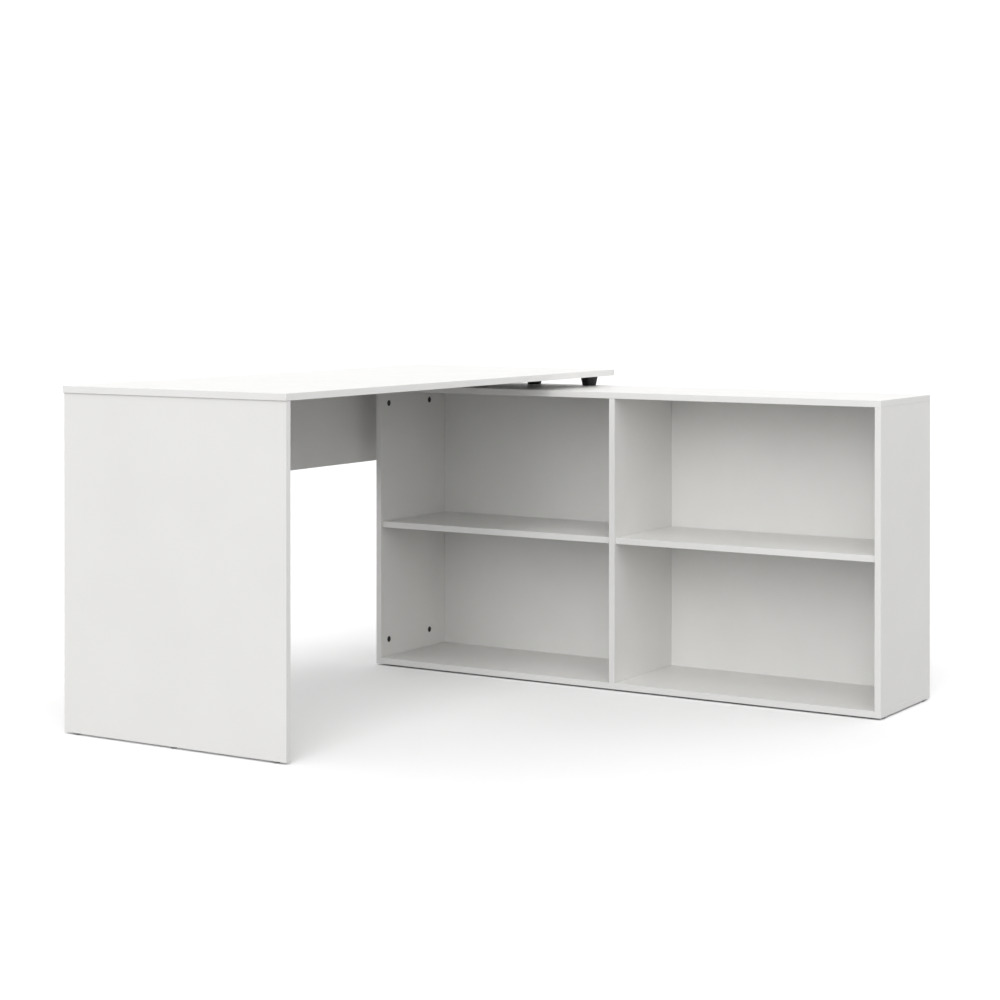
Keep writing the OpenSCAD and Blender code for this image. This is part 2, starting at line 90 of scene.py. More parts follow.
# Cam locks, and the board that each set is let into
CAM_LOCKS = {
    "cam_locks_left_side": "left_side",
    "cam_locks_divider": "divider",
    "cam_locks_right_side": "right_side",
    "cam_locks_shelf_left": "shelf_left",
    "cam_locks_shelf_right": "shelf_right",
    "cam_locks_leg": "leg_panel",
    "cam_locks_modesty": "modesty_panel",
}
CAM_BOLTS = (
    "cam_bolts_case_top",
    "cam_bolts_case_bottom",
    "cam_bolts_left_side",
    "cam_bolts_right_side",
    "cam_bolts_desktop",
    "cam_bolts_leg",
)
DOUBLE_BOLTS = "double_bolts_divider"
DOWELS = (
    "dowels_case_top",
    "dowels_case_bottom",
    "dowels_left_side",
    "dowels_right_side",
    "long_dowels_divider",
    "dowels_leg",
    "dowels_modesty",
)
GLIDES = ("leg_glides", "case_glides")
PLAIN_STEEL = ("leg_glide_pins", "case_glide_pins", "back_nails_left", "back_nails_right")

# Parts of a board's surface, in the order of its materials
FACE, EDGING, JOINT, CORE = range(4)

# Kinds of corner on a board
SHARP_CORNER, EDGED_CORNER, SAWN_CORNER = range(3)

# Sizes inside the joints that the frame's boxes don't give
SPACER_CHAMFER = 1 * MM
BOLT_BITE = 11 * MM
BOLT_SHANK_RADIUS = 2.5 * MM
SCREW_RADIUS = 3 * MM
INSERT_BORE_RADIUS = 3.1 * MM
GLIDE_PIN_RADIUS = 1.1 * MM
NAIL_ROUNDING = 0.15 * MM

# Places of the colour sockets on a mix node
MIX_COLOUR_A, MIX_COLOUR_B, MIX_COLOUR_RESULT = 6, 7, 2


# ---- settings ----


def colour_setting(name, description, default):
    """A colour that the user can change."""
    return FloatVectorProperty(
        name=name,
        description=description,
        default=default,
        size=3,
        min=0,
        max=1,
        subtype="COLOR",
    )


def length_setting(name, description, default, smallest, largest):
    """A length in metres."""
    return FloatProperty(
        name=name,
        description=description,
        default=default,
        min=smallest,
        max=largest,
        unit="LENGTH",
    )


def level_setting(name, description, default, largest):
    """The brightness of a light."""
    return FloatProperty(
        name=name, description=description, default=default, min=0, max=largest
    )


class DeskBoardSettings(bpy.types.PropertyGroup):
    edging_rounding: length_setting(
        "Edging radius",
        "Radius of the rounded corners of the glued edging",
        0.6 * MM,
        0.2 * MM,
        3 * MM,
    )
    seam_rounding: length_setting(
        "Seam radius",
        "Radius of the sawn corners that show as a fine seam inside a joint",
        1.2 * MM,
        0.2 * MM,
        2 * MM,
    )
    edging_steps: IntProperty(
        name="Edging steps",
        description="Flats that make up one rounded corner",
        default=4,
        min=2,
        max=8,
    )
    hardboard_rounding: length_setting(
        "Hardboard radius",
        "Radius of the sawn corners of the back panels",
        0.3 * MM,
        0.1 * MM,
        1 * MM,
    )
    face_white: colour_setting("Board white", "Colour of the melamine faces", (0.77, 0.764, 0.749))
    edging_white: colour_setting("Edging white", "Colour of the glued edging", (0.775, 0.77, 0.76))
    back_white: colour_setting(
        "Back panel white",
        "Colour of the lacquered hardboard backs",
        (0.76, 0.756, 0.742),
    )
    core_tan: colour_setting(
        "Particleboard",
        "Colour of the raw core in bores and rebates",
        (0.52, 0.38, 0.24),
    )
    gloss: FloatProperty(
        name="Face roughness",
        description="Roughness of the melamine faces",
        default=0.42,
        min=0.05,
        max=1,
        subtype="FACTOR",
    )
    pearl_size: length_setting(
        "Pearl size",
        "Width of the fine pearls pressed into the melamine",
        0.8 * MM,
        0.2 * MM,
        5 * MM,
    )
    pearl_height: length_setting("Pearl height", "Height of the pearls", 0.02 * MM, 0, 0.2 * MM)


class DeskFittingSettings(bpy.types.PropertyGroup):
    spacer_black: colour_setting(
        "Spacer black",
        "Colour of the moulded spacers",
        (0.005, 0.005, 0.0053),
    )
    cam_grey: colour_setting("Cam grey", "Colour of the die-cast cam locks", (0.07, 0.07, 0.072))
    steel_grey: colour_setting(
        "Steel grey",
        "Colour of the zinc-plated bolts, screws and nails",
        (0.60, 0.61, 0.63),
    )
    brass_yellow: colour_setting("Brass", "Colour of the threaded inserts", (0.72, 0.52, 0.24))
    beech_tan: colour_setting("Beech", "Colour of the dowels", (0.60, 0.42, 0.26))
    glide_grey: colour_setting("Glide grey", "Colour of the nail-on glides", (0.2, 0.2, 0.2))
    spacer_grain: length_setting(
        "Spacer grain",
        "Width of the spark-eroded grain on the spacers",
        0.5 * MM,
        0.1 * MM,
        3 * MM,
    )
    screw_pitch: length_setting(
        "Screw pitch",
        "Pitch of the spacer screws' thread",
        1.0 * MM,
        0.5 * MM,
        3 * MM,
    )
    bolt_pitch: length_setting(
        "Cam bolt pitch",
        "Pitch of the cam bolts' coarse wood thread",
        2.2 * MM,
        1 * MM,
        4 * MM,
    )
    insert_pitch: length_setting(
        "Insert pitch",
        "Pitch of the coarse thread outside the brass inserts",
        2.5 * MM,
        1 * MM,
        4 * MM,
    )
    dowel_flutes: IntProperty(
        name="Dowel flutes",
        description="Glue flutes round a dowel",
        default=12,
        min=6,
        max=24,
    )


class DeskStageSettings(bpy.types.PropertyGroup):
    floor_width: length_setting("Floor width", "Side of the square studio floor", 60, 10, 200)
    floor_white: colour_setting(
        "Floor colour",
        "Colour of the floor as the camera sees it",
        (1.0, 1.0, 1.0),
    )
    floor_bounce: colour_setting(
        "Floor bounce",
        "Colour that the floor throws back onto the desk",
        (0.33, 0.33, 0.33),
    )
    dome_low: level_setting(
        "Dome at the horizon",
        "Brightness of the white dome up to 12 degrees above the floor",
        1.09,
        5,
    )
    dome_middle: level_setting(
        "Dome above the horizon",
        "Brightness of the dome from 12 to 35 degrees",
        1.56,
        5,
    )
    dome_high: level_setting("Dome overhead", "Brightness of the dome from 35 to 60 degrees", 0.83, 5)
    dome_top: level_setting("Dome at the top", "Brightness of the dome from 60 to 90 degrees", 0.21, 5)
    key_strength: level_setting("Key strength", "Brightness of the high soft light in front", 0.6, 20)
    fill_strength: level_setting(
        "Fill strength",
        "Brightness of the soft light in front at half height",
        0.28,
        20,
    )
    low_strength: level_setting(
        "Low light strength",
        "Brightness of the low soft light in front",
        0.45,
        20,
    )
    camera_place: FloatVectorProperty(
        name="Camera place",
        description="Where the camera stands, from the middle of the footprint",
        default=(2.631, -4.3328, 0.988),
        size=3,
        subtype="TRANSLATION",
        unit="LENGTH",
    )
    camera_turn: FloatProperty(
        name="Camera turn",
        description="How far the camera is turned to the left of the desk's rear",
        default=math.radians(32.04),
        subtype="ANGLE",
    )
    camera_dip: FloatProperty(
        name="Camera dip",
        description="How far the camera looks down",
        default=math.radians(0.38),
        subtype="ANGLE",
    )
    camera_lens: FloatProperty(
        name="Focal length",
        description="Focal length of the camera in millimetres",
        default=81.4,
        min=20,
        max=200,
        unit="CAMERA",
    )
    camera_shift: FloatVectorProperty(
        name="Camera shift",
        description="Shift of the lens that keeps the uprights parallel",
        default=(0.0164, -0.2097),
        size=2,
    )


# ---- materials ----


def add_node(tree, kind, inputs=None, **settings):
    """Adds a shader node; an input is a value, or another node's output to link."""
    node = tree.nodes.new(kind)
    for name, value in settings.items():
        setattr(node, name, value)
    for name, value in (inputs or {}).items():
        if isinstance(value, bpy.types.NodeSocket):
            tree.links.new(value, node.inputs[name])
        else:
            node.inputs[name].default_value = value
    return node


def start_material(name):
    """A new material with its node tree and its principled shader."""
    material = bpy.data.materials.new(name)
    material.use_nodes = True
    tree = material.node_tree
    return material, tree, tree.nodes["Principled BSDF"]


def own_coordinates(tree):
    """The piece's own coordinates, in metres."""
    return add_node(tree, "ShaderNodeTexCoord").outputs["Object"]


def noise(tree, place, size, detail=2.0, roughness=0.5):
    """Soft noise whose blobs are about size metres wide."""
    made = add_node(
        tree,
        "ShaderNodeTexNoise",
        {"Vector": place, "Scale": 1 / size, "Detail": detail, "Roughness": roughness},
    )
    return made.outputs["Fac"]


def chips(tree, place, size):
    """Random flat chips about size metres wide, as a brightness."""
    made = add_node(tree, "ShaderNodeTexVoronoi", {"Vector": place, "Scale": 1 / size})
    return made.outputs["Color"]


def spread_of(tree, value, low, high):
    """Turns noise into a value from low to high."""
    made = add_node(
        tree,
        "ShaderNodeMapRange",
        {"Value": value, "From Min": 0.3, "From Max": 0.7, "To Min": low, "To Max": high},
    )
    return made.outputs["Result"]


def tint(colour, share):
    """A colour made lighter or darker by a share, as red, green, blue and alpha."""
    return (*(min(1.0, part * share) for part in colour), 1.0)


def ramp(tree, value, dark, light, low=0.3, high=0.7):
    """Turns noise into a colour between dark and light."""
    made = add_node(tree, "ShaderNodeValToRGB", {"Fac": value})
    stops = made.color_ramp.elements
    stops[0].position = low
    stops[0].color = dark
    stops[1].position = high
    stops[1].color = light
    return made.outputs["Color"]


def bump(tree, height, distance, below=None):
    """Turns a height pattern into a bent normal, on top of another one."""
    inputs = {"Height": height, "Distance": distance, "Strength": 1.0}
    if below is not None:
        inputs["Normal"] = below
    return add_node(tree, "ShaderNodeBump", inputs).outputs["Normal"]


def wire(tree, shader, colour=None, roughness=None, normal=None):
    """Links patterns to a shader's sockets."""
    if colour is not None:
        tree.links.new(colour, shader.inputs["Base Color"])
    if roughness is not None:
        tree.links.new(roughness, shader.inputs["Roughness"])
    if normal is not None:
        tree.links.new(normal, shader.inputs["Normal"])


def melamine(name, white, roughness, pearl_size, pearl_height):
    """White melamine paper: pearled, with a slight cloud in colour and gloss."""
    material, tree, shader = start_material(name)
    place = own_coordinates(tree)
    cloud = noise(tree, place, 0.16, detail=4.0)
    colour = ramp(tree, cloud, tint(white, 0.985), tint(white, 1.01))
    patches = noise(tree, place, 0.03, detail=3.0)
    sheen = spread_of(tree, patches, roughness - 0.04, roughness + 0.04)
    sag = bump(tree, noise(tree, place, 0.05), 0.02 * MM)
    pearls = bump(tree, noise(tree, place, pearl_size), pearl_height, sag)
    wire(tree, shader, colour, sheen, pearls)
    return material


def edging_strip(name, white, roughness):
    """Plastic edging: smoother than the faces, with faint scraper marks."""
    material, tree, shader = start_material(name)
    place = own_coordinates(tree)
    colour = ramp(tree, noise(tree, place, 0.09), tint(white, 0.985), tint(white, 1.01))
    sheen = spread_of(tree, noise(tree, place, 0.012), roughness - 0.05, roughness + 0.05)
    marks = bump(tree, noise(tree, place, 1.6 * MM, detail=3.0), 0.015 * MM)
    wire(tree, shader, colour, sheen, marks)
    return material


def particleboard(name, tan):
    """Raw pressed chips of wood."""
    material, tree, shader = start_material(name)
    place = own_coordinates(tree)
    chip = chips(tree, place, 2.2 * MM)
    colour = ramp(tree, chip, tint(tan, 0.6), tint(tan, 1.25), 0.15, 0.85)
    grit = add_node(
        tree, "ShaderNodeMath", {0: chip, 1: noise(tree, place, 0.7 * MM)}, operation="ADD"
    )
    wire(tree, shader, colour, normal=bump(tree, grit.outputs[0], 0.25 * MM))
    shader.inputs["Roughness"].default_value = 0.92
    return material


def lacquered_hardboard(name, white):
    """Hardboard with a thin white lacquer over its fibres."""
    material, tree, shader = start_material(name)
    place = own_coordinates(tree)
    colour = ramp(tree, noise(tree, place, 0.12, detail=4.0), tint(white, 0.98), tint(white, 1.01))
    sheen = spread_of(tree, noise(tree, place, 0.02), 0.46, 0.56)
    fibres = bump(tree, noise(tree, place, 1.2 * MM, detail=5.0, roughness=0.65), 0.05 * MM)
    wire(tree, shader, colour, sheen, fibres)
    return material


def moulded_plastic(name, colour, roughness, grain, height):
    """Moulded plastic with a spark-eroded grain."""
    material, tree, shader = start_material(name)
    place = own_coordinates(tree)
    shade = ramp(tree, noise(tree, place, 6 * MM), tint(colour, 0.8), tint(colour, 1.25))
    sheen = spread_of(tree, noise(tree, place, 2 * MM), roughness - 0.06, roughness + 0.06)
    wire(tree, shader, shade, sheen, bump(tree, noise(tree, place, grain), height))
    return material


def metal(name, colour, roughness, grain, height, mottle):
    """Bare or plated metal: mottled colour and gloss over a fine skin."""
    material, tree, shader = start_material(name)
    place = own_coordinates(tree)
    patches = noise(tree, place, 3 * MM, detail=3.0)
    shade = ramp(tree, patches, tint(colour, 1 - mottle), tint(colour, 1 + mottle))
    sheen = spread_of(tree, noise(tree, place, 1.5 * MM), roughness - 0.08, roughness + 0.08)
    wire(tree, shader, shade, sheen, bump(tree, noise(tree, place, grain, detail=3.0), height))
    shader.inputs["Metallic"].default_value = 1.0
    return material


def beech_wood(name, tan):
    """Beech with its short dark flecks."""
    material, tree, shader = start_material(name)
    place = own_coordinates(tree)
    grain = noise(tree, place, 4 * MM, detail=4.0, roughness=0.6)
    flecks = noise(tree, place, 0.6 * MM, detail=2.0)
    both = add_node(tree, "ShaderNodeMath", {0: grain, 1: flecks}, operation="MULTIPLY")
    colour = ramp(tree, both.outputs[0], tint(tan, 0.72), tint(tan, 1.12), 0.12, 0.4)
    wire(tree, shader, colour, normal=bump(tree, flecks, 0.06 * MM))
    shader.inputs["Roughness"].default_value = 0.7
    return material


def finish_of(name):
    """The material of that name, made the first time that it is asked for.

    No name here is that of one of the CAD's own plain materials, which would be found.
    """
    made = bpy.data.materials.get(name)
    if made is not None:
        return made
    boards = bpy.context.scene.desk_boards
    fittings = bpy.context.scene.desk_fittings
    if name == "white_melamine":
        return melamine(name, boards.face_white, boards.gloss, boards.pearl_size, boards.pearl_height)
    if name == "white_edging":
        return edging_strip(name, boards.edging_white, 0.34)
    if name == "edging_joint":
        return edging_strip(name, [0.93 * part for part in boards.edging_white], 0.5)
    if name == "board_core":
        return particleboard(name, boards.core_tan)
    if name == "white_hardboard":
        return lacquered_hardboard(name, boards.back_white)
    if name == "black_spacer_plastic":
        return moulded_plastic(name, fittings.spacer_black, 0.42, fittings.spacer_grain, 0.03 * MM)
    if name == "die_cast_zinc":
        return metal(name, fittings.cam_grey, 0.5, 0.4 * MM, 0.03 * MM, 0.2)
    if name == "zinc_plated_steel":
        return metal(name, fittings.steel_grey, 0.32, 0.3 * MM, 0.01 * MM, 0.08)
    if name == "turned_brass":
        return metal(name, fittings.brass_yellow, 0.28, 0.3 * MM, 0.008 * MM, 0.08)
    if name == "beech_wood":
        return beech_wood(name, fittings.beech_tan)
    if name == "moulded_glide_plastic":
        return moulded_plastic(name, fittings.glide_grey, 0.5, 0.4 * MM, 0.02 * MM)
    raise ValueError(f"there is no finish named {name}")


# ---- meshes ----


def axis_of(letter):
    return "xyz".index(letter)


def sides_at(point, low, high):
    """The outer planes of a board that a point lies on, such as x- or z+."""
    found = set()
    for i, letter in enumerate("xyz"):
        if abs(point[i] - low[i]) < PLANE_TOLERANCE:
            found.add(letter + "-")
        if abs(point[i] - high[i]) < PLANE_TOLERANCE:
            found.add(letter + "+")
    return found


def sides_of(points, low, high):
    """The outer planes that all of these points lie on."""
    return set.intersection(*(sides_at(point, low, high) for point in points))


def clean_copy(node):
    """The exact CAD shape with its corners joined and its flat faces whole."""
    shape = bmesh.new()
    shape.from_mesh(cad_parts[node].data)
    bmesh.ops.remove_doubles(shape, verts=shape.verts, dist=PLANE_TOLERANCE / 2)
    bmesh.ops.dissolve_limit(
        shape, angle_limit=math.radians(0.5), verts=shape.verts, edges=shape.edges
    )
    return shape


def rounding_of(edge, low, high, faces, edged, outer, rebate_y):
    """Whether a corner has edging, is sawn and lies inside a joint, or stays sharp."""
    points = [v.co for v in edge.verts]
    sides = sides_of(points, low, high)
    if len(sides) > 1:
        if all(side in faces or side in edged for side in sides):
            return EDGED_CORNER
        return SHARP_CORNER if outer in sides else SAWN_CORNER
    on_rebate = all(abs(p.y - rebate_y) < PLANE_TOLERANCE for p in points)
    return SAWN_CORNER if sides & faces and on_rebate else SHARP_CORNER


def round_corners(shape, corners, radius, steps):
    bmesh.ops.bevel(
        shape,
        geom=corners,
        offset=radius,
        offset_type="OFFSET",
        segments=steps,
        profile=0.5,
        affect="EDGES",
        clamp_overlap=False,
    )


def part_of_board(face, low, high, faces, edged, reach, across, rebate_y):
    """Which part of a board's surface a face of its mesh belongs to."""
    sides = sides_of([v.co for v in face.verts], low, high)
    if sides & faces:
        return FACE
    if sides & edged:
        return EDGING
    if sides:
        return JOINT
    middle = face.calc_center_median()
    near = sum(min(middle[i] - low[i], high[i] - middle[i]) < reach for i in range(3))
    by_rebate = abs(middle.y - rebate_y) < reach and abs(face.normal.y) < FLAT_ON_REBATE
    if near > 0 and by_rebate:
        return JOINT
    if near < 2:
        return CORE
    return JOINT if abs(face.normal[across]) > NEARLY_FLAT else EDGING


def board_mesh(node, across, edged, outer, settings, radii):
    """A board with all its bores, rounded corners, and a part number on every face."""
    low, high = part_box(node)
    rebate_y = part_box("back_panel_left")[0].y
    faces = {across + "-", across + "+"}
    edged = set(edged)
    shape = clean_copy(node)
    for kind, radius in zip((EDGED_CORNER, SAWN_CORNER), radii):
        corners = [
            edge
            for edge in shape.edges
            if rounding_of(edge, low, high, faces, edged, outer, rebate_y) == kind
        ]
        round_corners(shape, corners, radius, settings.edging_steps)
    reach = max(radii) + PLANE_TOLERANCE
    for face in shape.faces:
        face.smooth = True
        face.material_index = part_of_board(
            face, low, high, faces, edged, reach, axis_of(across), rebate_y
        )
    mesh = bpy.data.meshes.new(node)
    shape.to_mesh(mesh)
    shape.free()
    mesh.set_sharp_from_angle(angle=SMOOTH_ANGLE)
    return mesh


def turned(rings, sides=48, thread=0.0, pitch=1.0 * MM, flutes=0):
    """A solid turned about z through rings of (height, radius, depth of thread or flute).

    A radius of 0 closes an end. The thread winds up the rings that have a depth;
    with flutes, the depth is that of straight grooves instead.
    """
    shape = bmesh.new()
    loops = []
    for height, radius, *depth in rings:
        if radius == 0:
            loops.append([shape.verts.new((0, 0, height))])
            continue
        loop = []
        for i in range(sides):
            turn = i / sides
            cut = 0.0
            if depth and flutes:
                cut = depth[0] * max(0.0, math.cos(2 * math.pi * flutes * turn))
            elif depth and thread:
                phase = (height / pitch - turn) % 1.0
                cut = depth[0] * abs(2 * phase - 1)
            angle = 2 * math.pi * turn
            reach = radius - cut
            loop.append(
                shape.verts.new((reach * math.cos(angle), reach * math.sin(angle), height))
            )
        loops.append(loop)
    for below, above in zip(loops, loops[1:]):
        for i in range(sides):
            j = (i + 1) % sides
            if len(below) == 1:
                shape.faces.new((below[0], above[j], above[i]))
            elif len(above) == 1:
                shape.faces.new((below[i], below[j], above[0]))
            else:
                shape.faces.new((below[i], below[j], above[j], above[i]))
    bmesh.ops.recalc_face_normals(shape, faces=shape.faces)
    return shape


def rod(bottom, top, radius, sides):
    """A plain round or many-sided rod along z."""
    return turned([(bottom, 0), (bottom, radius), (top, radius), (top, 0)], sides=sides)


def ring_round(rings, sides=48):
    """A solid turned about z whose rings close on themselves round a bore."""
    shape = bmesh.new()
    loops = []
    for height, radius in rings:
        loops.append(
            [
                shape.verts.new(
                    (
                        radius * math.cos(2 * math.pi * i / sides),
                        radius * math.sin(2 * math.pi * i / sides),
                        height,
                    )
                )
                for i in range(sides)
            ]
        )
    for below, above in zip(loops, loops[1:] + loops[:1]):
        for i in range(sides):
            j = (i + 1) % sides
            shape.faces.new((below[i], below[j], above[j], above[i]))
    bmesh.ops.recalc_face_normals(shape, faces=shape.faces)
    return shape


def arc_rings(height, radius, rounding, start, end, steps=3):
    """Rings along a rounded corner; angles in degrees, 0 outward and 90 upward."""
    angles = [math.radians(start + (end - start) * i / steps) for i in range(steps + 1)]
    return [
        (height + rounding * math.sin(a), radius + rounding * math.cos(a)) for a in angles
    ]


def threaded_rings(start, end, radius, depth, pitch, steps=6):
    """Rings close enough together for a thread from start to end."""
    count = max(2, round(abs(end - start) / pitch * steps))
    return [
        (start + (end - start) * i / count, radius, depth) for i in range(count + 1)
    ]


def mesh_from(shape, name):
    """Turns a bmesh into a smooth-shaded mesh with sharp corners kept."""
    for face in shape.faces:
        face.smooth = True
    mesh = bpy.data.meshes.new(name)
    shape.to_mesh(mesh)
    shape.free()
    mesh.set_sharp_from_angle(angle=SMOOTH_ANGLE)
    return mesh


def block(size, place, turn=0.0):
    """A cutting block, turned about z."""
    shape = bmesh.new()
    bmesh.ops.create_cube(shape, size=1.0)
    swing = Matrix.Rotation(turn, 4, "Z")
    stretch = Matrix.Diagonal((*size, 1))
    bmesh.ops.transform(
        shape, matrix=swing @ Matrix.Translation(place) @ stretch, verts=shape.verts
    )
    return shape


def cut(shape, cutters, name):
    """Takes the cutters out of a shape, one after another."""
    body = bpy.data.objects.new(name, mesh_from(shape, name))
    bpy.context.scene.collection.objects.link(body)
    tools = []
    for cutter in cutters:
        tool = bpy.data.objects.new(name + "_cutter", mesh_from(cutter, name + "_cutter"))
        bpy.context.scene.collection.objects.link(tool)
        step = body.modifiers.new("Cut", "BOOLEAN")
        step.operation = "DIFFERENCE"
        step.solver = "EXACT"
        step.object = tool
        tools.append(tool)
    evaluated = body.evaluated_get(bpy.context.evaluated_depsgraph_get())
    result = bmesh.new()
    result.from_mesh(evaluated.to_mesh())
    evaluated.to_mesh_clear()
    for leftover in (body, *tools):
        mesh = leftover.data
        bpy.data.objects.remove(leftover)
        bpy.data.meshes.remove(mesh)
    bmesh.ops.remove_doubles(result, verts=result.verts, dist=PLANE_TOLERANCE / 2)
    return result


def copies(template, places, name):
    """One mesh with a copy of the template at each place."""
    shape = bmesh.new()
    source = mesh_from(template, name + "_template")
    for place in places:
        first = len(shape.verts)
        shape.from_mesh(source)
        shape.verts.ensure_lookup_table()
        bmesh.ops.transform(shape, matrix=place, verts=shape.verts[first:])
    bpy.data.meshes.remove(source)
    return mesh_from(shape, name)


def solids_in(node):
    """The separate solids of a CAD node, each as the list of its corner points."""
    shape = bmesh.new()
    shape.from_mesh(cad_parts[node].data)
    bmesh.ops.remove_doubles(shape, verts=shape.verts, dist=PLANE_TOLERANCE / 2)
    waiting = set(shape.verts)
    found = []
    while waiting:
        todo = [next(v for v in shape.verts if v in waiting)]
        waiting.discard(todo[0])
        points = []
        while todo:
            v = todo.pop()
            points.append(v.co.copy())
            for edge in v.link_edges:
                other = edge.other_vert(v)
                if other in waiting:
                    waiting.discard(other)
                    todo.append(other)
        found.append(points)
    shape.free()
    return found


class Span:
    """The box round one small solid, with its middle, size and longest and odd axis."""

    def __init__(self, points):
        self.points = points
        self.low = Vector([min(p[i] for p in points) for i in range(3)])
        self.high = Vector([max(p[i] for p in points) for i in range(3)])
        self.size = self.high - self.low
        self.middle = (self.high + self.low) / 2
        order = sorted(range(3), key=lambda i: self.size[i])
        self.longest = order[2]
        self.shortest = order[0]

    def holds(self, point):
        return all(self.low[i] - MM < point[i] < self.high[i] + MM for i in range(3))

    def widest_end(self):
        """1 or -1: the side of the middle, along the longest axis, where the collar is."""
        i = self.longest
        others = [j for j in range(3) if j != i]

        def reach(p):
            return math.hypot(*(p[j] - self.middle[j] for j in others))

        top = max(reach(p) for p in self.points)
        rim = [p[i] for p in self.points if reach(p) > top - 0.05 * MM]
        return 1 if sum(rim) / len(rim) > self.middle[i] else -1


def spans_of(node):
    return [Span(points) for points in solids_in(node)]


def unit(axis, sign=1):
    return Vector([sign if i == axis else 0 for i in range(3)])


def stand(place, up, side=None):
    """The matrix that puts a piece at place, its z along up and its x along side."""
    up = up.normalized()
    if side is None:
        side = unit(0) if abs(up.x) < 0.5 else unit(1)
    across = up.cross(side).normalized()
    side = across.cross(up)
    turn = Matrix((side, across, up)).transposed().to_4x4()
    return Matrix.Translation(place) @ turn


def standing(span, lift=0.0):
    """The matrix that stands a piece where a solid stands, or lift above its foot."""
    return stand(Vector((span.middle.x, span.middle.y, span.low.z + lift)), unit(2))


def add_piece(name, mesh, nodes, slot, *finishes):
    """Puts a mesh into the scene in place of CAD nodes."""
    for finish in finishes:
        mesh.materials.append(finish_of(finish))
    mesh.name = name
    piece = bpy.data.objects.new(name, mesh)
    bpy.context.scene.collection.objects.link(piece)
    even = piece.modifiers.new("Even shading", "WEIGHTED_NORMAL")
    even.keep_sharp = True
    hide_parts(*nodes)
    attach(piece, "root")
    return piece


def dress_node(node, finish, rounding):
    """Gives a CAD node its finish and softens its sharp corners."""
    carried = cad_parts[node]
    carried.data.materials.clear()
    carried.data.materials.append(finish_of(finish))
    joined = carried.modifiers.new("Joined corners", "WELD")
    joined.merge_threshold = PLANE_TOLERANCE / 2
    soft = carried.modifiers.new("Softened corners", "BEVEL")
    soft.width = rounding
    soft.segments = 2
    soft.limit_method = "ANGLE"
    soft.angle_limit = math.radians(40)
    return carried


# ---- fittings ----


def cross_cutters(height, width, length, depth):
    """Two blocks that cut a cross recess down into a head whose top is at height."""
    return [
        block((length, width, 2 * depth), Vector((0, 0, height)), turn)
        for turn in (0, math.pi / 2)
    ]


def cam_lock_shape(radius, depth, mid_depth):
    """A cam lock: face up at z 0, its bolt coming in from the +x side."""
    rim, break_edge = 0.5 * MM, 0.15 * MM
    dish, dish_wall, dish_draft = 0.35 * MM, 1.5 * MM, 0.25 * MM
    dish_r = radius - dish_wall
    body = turned(
        [
            (-depth, 0),
            (-depth, radius - rim),
            (-depth + rim, radius),
            (-rim, radius),
            (-break_edge, radius - break_edge),
            (0, radius - rim),
            (0, dish_r),
            (-dish, dish_r - dish_draft),
            (-dish, 0),
        ],
        sides=64,
    )
    slot_w, slot_l, slot_depth = 1.5 * MM, 8 * MM, 2.2 * MM
    cutters = cross_cutters(0, slot_w, slot_l, slot_depth)
    arrow_r, arrow_inset = 0.9 * MM, 0.55 * MM
    arrow = rod(-0.8 * MM, 0.5 * MM, arrow_r, sides=3)
    bmesh.ops.translate(arrow, vec=(dish_r - arrow_inset, 0, 0), verts=arrow.verts)
    cutters.append(arrow)
    hollow = rod(-2.3 * MM, radius + MM, 3.8 * MM, sides=40)
    bmesh.ops.transform(
        hollow, matrix=stand(Vector((0, 0, -mid_depth)), unit(0)), verts=hollow.verts
    )
    cutters.append(hollow)
    return cut(body, cutters, "cam_lock")


def cam_places(node, board, bolts):
    """Where the cams of a board go: face outward, arrow towards the bolt's board."""
    low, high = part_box(board)
    places = []
    for cam in spans_of(node):
        i = cam.shortest
        outward = 1 if abs(cam.high[i] - high[i]) < abs(cam.low[i] - low[i]) else -1
        bolt = next(b for b in bolts if b.holds(cam.middle - unit(i, outward * 1.5 * MM)))
        along = bolt.longest
        towards = 1 if bolt.middle[along] > cam.middle[along] else -1
        face = cam.middle + unit(i, outward * cam.size[i] / 2)
        places.append(stand(face, unit(i, outward), unit(along, towards)))
    return places


def bolt_head(end):
    """Rings of the waisted head that a cam grips, up to the end of the bolt."""
    head_r, waist_r, tip_r = 3.5 * MM, 2.1 * MM, 2.6 * MM
    return [
        (end - 5 * MM, BOLT_SHANK_RADIUS),
        (end - 4 * MM, head_r),
        (end - 3 * MM, head_r),
        (end - 2.4 * MM, waist_r),
        (end - 1.8 * MM, waist_r),
        (end - 1.2 * MM, head_r),
        (end - 0.6 * MM, head_r),
        (end, tip_r),
        (end, 0),
    ]


def cam_bolt_shape(length, pitch):
    """A cam bolt along z: thread from its tip up to the collar, then the neck and head."""
    collar_r, collar_t = 4 * MM, 1 * MM
    thread_r, core_cut = 3 * MM, 0.8 * MM
    tip, tip_r = -BOLT_BITE, 1.6 * MM
    head = length - BOLT_BITE
    rings = [(tip, 0), (tip, tip_r)]
    rings += threaded_rings(tip + MM, -0.6 * MM, thread_r, core_cut, pitch)
    rings += [
        (0, thread_r - core_cut),
        (0, collar_r),
        (collar_t, collar_r),
        (collar_t, BOLT_SHANK_RADIUS),
        *bolt_head(head),
    ]
    body = turned(rings, sides=32, thread=1.0, pitch=pitch)
    return cut(body, cross_cutters(head, 0.8 * MM, 4 * MM, 1.2 * MM), "cam_bolt")


